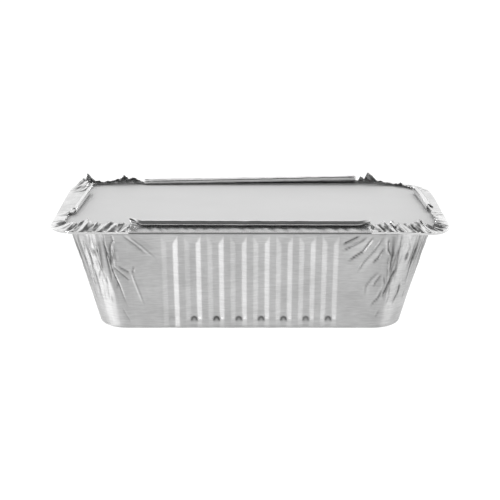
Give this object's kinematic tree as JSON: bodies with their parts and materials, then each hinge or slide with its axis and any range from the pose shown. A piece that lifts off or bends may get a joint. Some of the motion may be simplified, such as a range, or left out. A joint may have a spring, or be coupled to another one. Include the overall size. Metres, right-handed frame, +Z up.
{
  "type": "foil food container",
  "caption": "Oblong takeaway tray of pressed foil with upright wall grooves and gathered corners, closed by a card lid that lies under the tray's folded and crumpled rim.",
  "frame": {"origin": "middle of the base's underside, on the surface that the tray stands on", "axes": "+X along the long side, +Y across to the back, +Z up towards the lid"},
  "size_m": [0.2082, 0.1142, 0.0678],
  "materials": {
    "foil": "satin rolled foil, bright at the sharp folds and crumpled at the corners",
    "card": "plain pale grey card, matt"
  },
  "bodies": {
    "root": {"foil_tray": "foil", "card_lid": "card"}
  },
  "joints": []
}
